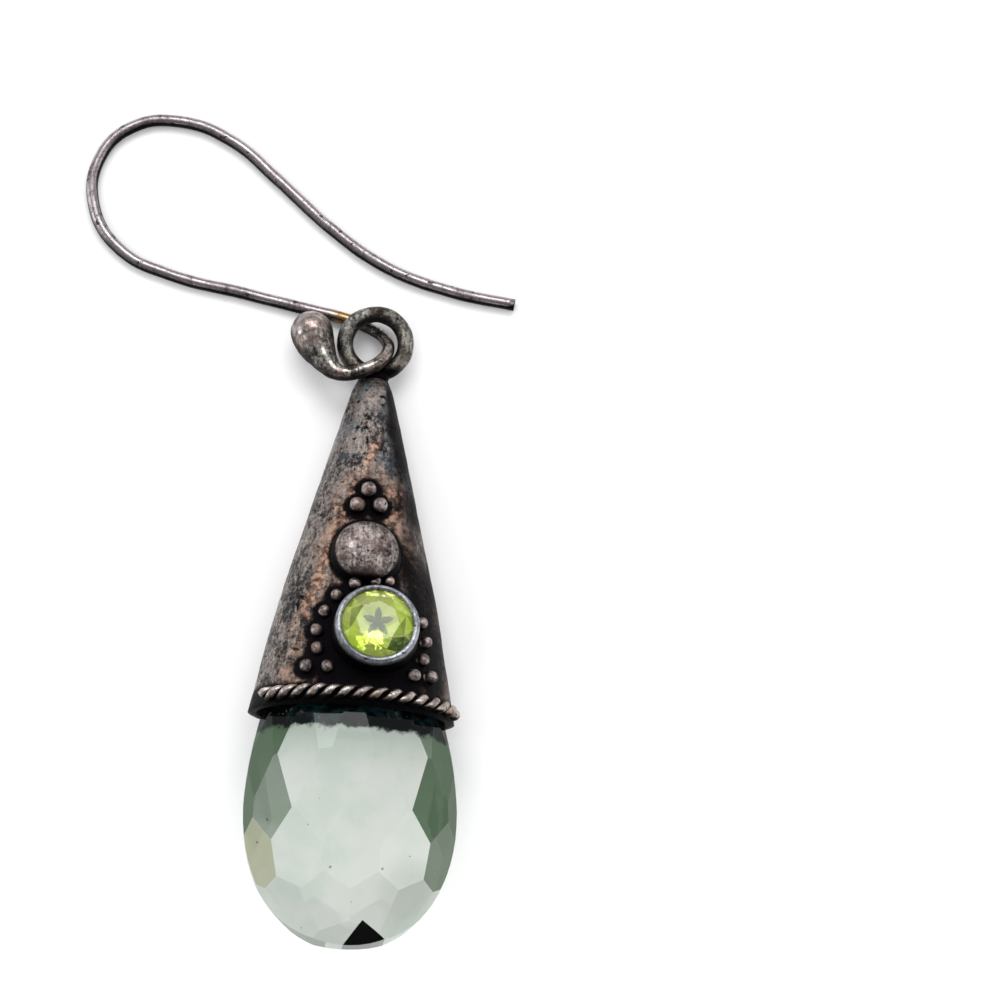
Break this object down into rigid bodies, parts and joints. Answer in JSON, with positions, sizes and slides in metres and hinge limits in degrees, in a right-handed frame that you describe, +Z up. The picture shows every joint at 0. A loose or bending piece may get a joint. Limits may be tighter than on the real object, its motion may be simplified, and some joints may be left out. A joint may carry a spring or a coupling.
{
  "type": "drop earring",
  "caption": "Drop earring: long silver ear hook through an eye ring, oxidised cone cap with granules, rope edge and a bezel-set peridot, holding a faceted pale green drop stone.",
  "frame": {"origin": "middle of the earring's plan, on the surface that it lies on", "axes": "+Z up from the surface, +Y along the drop from the stone towards the hook, +X to the right as seen from the front"},
  "size_m": [0.0294, 0.056, 0.0094],
  "materials": {
    "wire_silver": "drawn sterling silver wire, darkened, worn bright along its upper side",
    "dark_silver": "oxidised sterling silver, near black in the hollows, worn to grey and brown on the high places",
    "peridot": "polished lime green peridot, round brilliant cut",
    "green_quartz": "polished pale milky green quartz with flat facets"
  },
  "bodies": {
    "root": {"ear_hook": "wire_silver", "cap": "dark_silver", "peridot": "peridot", "drop_stone": "green_quartz"}
  },
  "joints": []
}
